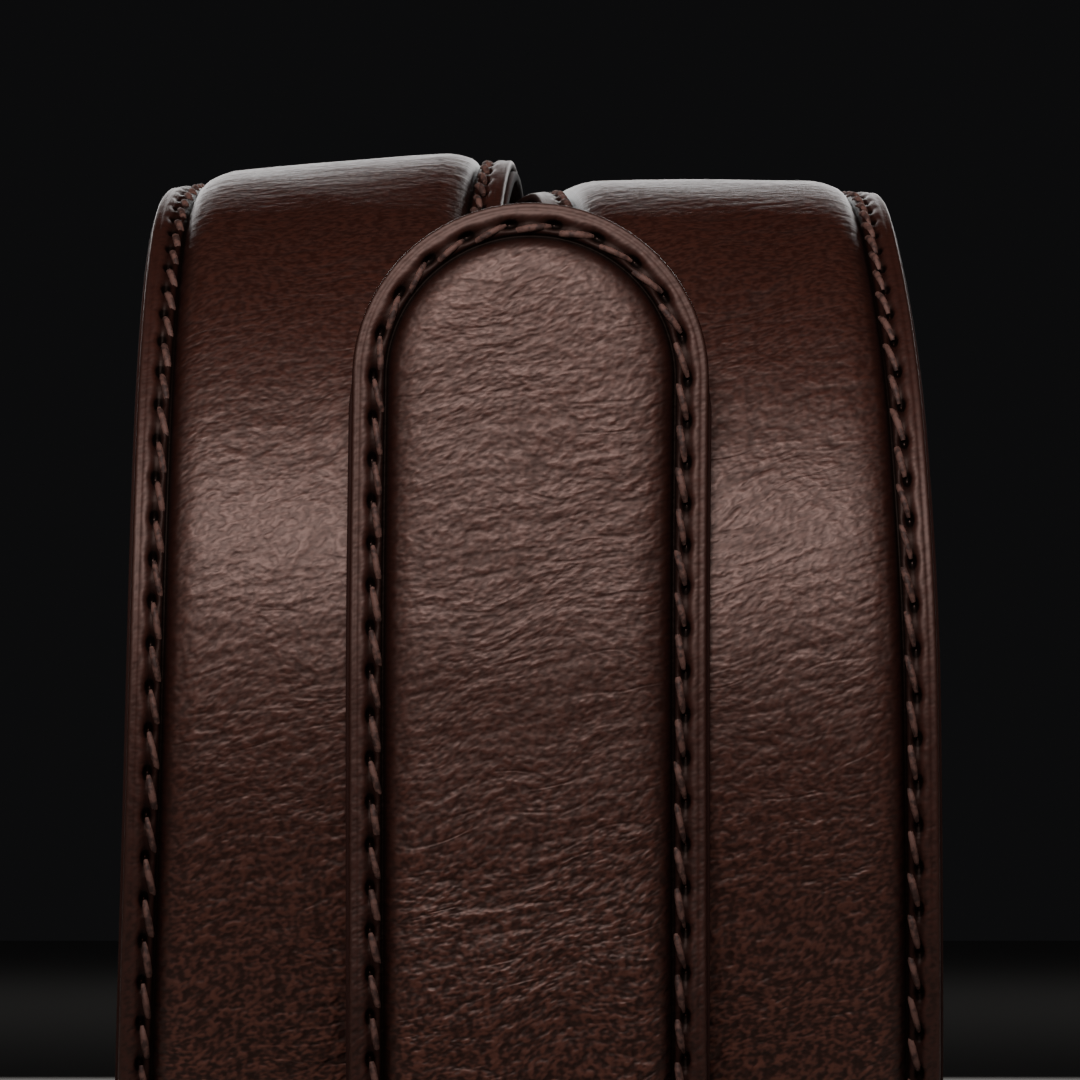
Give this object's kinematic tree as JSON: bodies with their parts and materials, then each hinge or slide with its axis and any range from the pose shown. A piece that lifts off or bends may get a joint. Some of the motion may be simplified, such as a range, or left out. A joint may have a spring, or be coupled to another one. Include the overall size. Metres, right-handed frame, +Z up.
{
  "type": "ratchet belt",
  "caption": "Leather ratchet belt wound into a standing coil, padded strap with stitched margins, round tip in front, toothed track behind it and a plain ratchet buckle inside.",
  "frame": {"origin": "on the floor under the middle of the coil, on the padded face of the strap's lowest turn", "axes": "+Z up, X along the coil's axis (across the strap), -Y towards the side that the tip runs up"},
  "size_m": [0.0831, 0.1323, 0.1163],
  "materials": {
    "face_leather": "dark chocolate brown grained leather, semi-matte sheen, tonal thread",
    "lining_leather": "dark brown smooth split leather, matte, painted edge",
    "track_plastic": "moulded black plastic, fine texture",
    "buckle_metal": "brushed dark nickel plate"
  },
  "bodies": {
    "root": {"strap_cover": "face_leather", "strap_lining": "lining_leather", "ratchet_track": "track_plastic", "buckle": "buckle_metal"}
  },
  "joints": []
}
